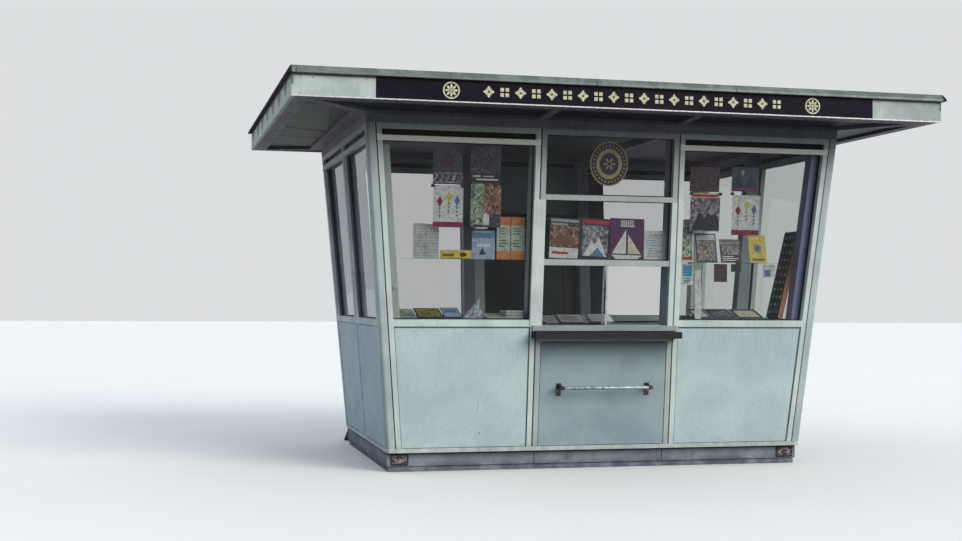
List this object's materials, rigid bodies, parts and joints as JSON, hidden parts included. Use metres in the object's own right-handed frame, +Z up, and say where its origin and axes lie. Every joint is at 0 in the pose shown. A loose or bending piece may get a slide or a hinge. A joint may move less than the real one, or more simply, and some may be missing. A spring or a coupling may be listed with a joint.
{
  "type": "street kiosk",
  "caption": "Free-standing glazed sales kiosk with outward-leaning walls, a serving hatch with ledge and rail, and a flat overhanging roof.",
  "frame": {"origin": "on the ground under the middle of the kiosk", "axes": "+X along the serving front, to a customer's right; -Y out of the serving front; +Z up"},
  "size_m": [4.97, 3.652, 2.893],
  "materials": {
    "frame_paint": "pale grey-green gloss paint, dirty at the edges",
    "panel_paint": "pale grey-green paint, faintly mottled",
    "post_paint": "painted timber",
    "window_glass": "clear sheet glass",
    "plinth_block": "grey cast block, stained",
    "rusty_steel": "painted steel, rusting at the edges",
    "floor_board": "worn boards",
    "ledge_wood": "weathered dark timber",
    "rail_metal": "worn plated tube",
    "sign_paint": "near-black enamel",
    "fascia_paint": "white paint, weathered",
    "edge_trim": "plain mill finish",
    "roof_edge": "weathered grey-blue sheet metal",
    "roof_sheet": "weathered roofing felt",
    "soffit_paint": "dull grey paint",
    "soffit_board": "dark grey-green boards",
    "roof_board": "rough boards, unseen",
    "ceiling_paint": "pale matt paint",
    "vent_board": "dark stained board",
    "counter_wood": "painted boards, worn",
    "door_paint": "pale grey-green paint"
  },
  "bodies": {
    "root": {"footing": "rusty_steel", "plinth": "plinth_block", "plinth_corner_plates": "rusty_steel", "sole_frame": "frame_paint", "floor": "floor_board", "corner_posts": "post_paint", "corner_trims": "frame_paint", "mullion_posts": "post_paint", "front_left_frame": "frame_paint", "front_centre_frame": "frame_paint", "front_right_frame": "frame_paint", "left_wall_frames": "frame_paint", "right_wall_frames": "frame_paint", "rear_wall_frames": "frame_paint", "rear_door_frame": "frame_paint", "rear_door": "door_paint", "rear_door_fittings": "rail_metal", "front_panels": "panel_paint", "front_centre_panel": "panel_paint", "left_wall_panels": "panel_paint", "right_wall_panels": "panel_paint", "rear_wall_panels": "panel_paint", "front_window_glass": "window_glass", "sliding_panes": "window_glass", "left_wall_glass": "window_glass", "right_wall_glass": "window_glass", "rear_wall_glass": "window_glass", "vent_boards": "vent_board", "hatch_cover_strips": "frame_paint", "serving_sill": "frame_paint", "serving_ledge": "ledge_wood", "handrail": "rail_metal", "window_counters": "counter_wood", "glass_shelves": "window_glass", "head_frame": "soffit_paint", "rear_base_props": "rusty_steel", "ceiling": "ceiling_paint", "soffit_frame": "soffit_paint", "soffit_boards": "soffit_board", "roof_deck": "roof_board", "fascia_boards": "fascia_paint", "sign_board": "sign_paint", "sign_edge_angle": "edge_trim", "roof_edge_trim": "roof_edge", "roof_covering": "roof_sheet"}
  },
  "joints": []
}
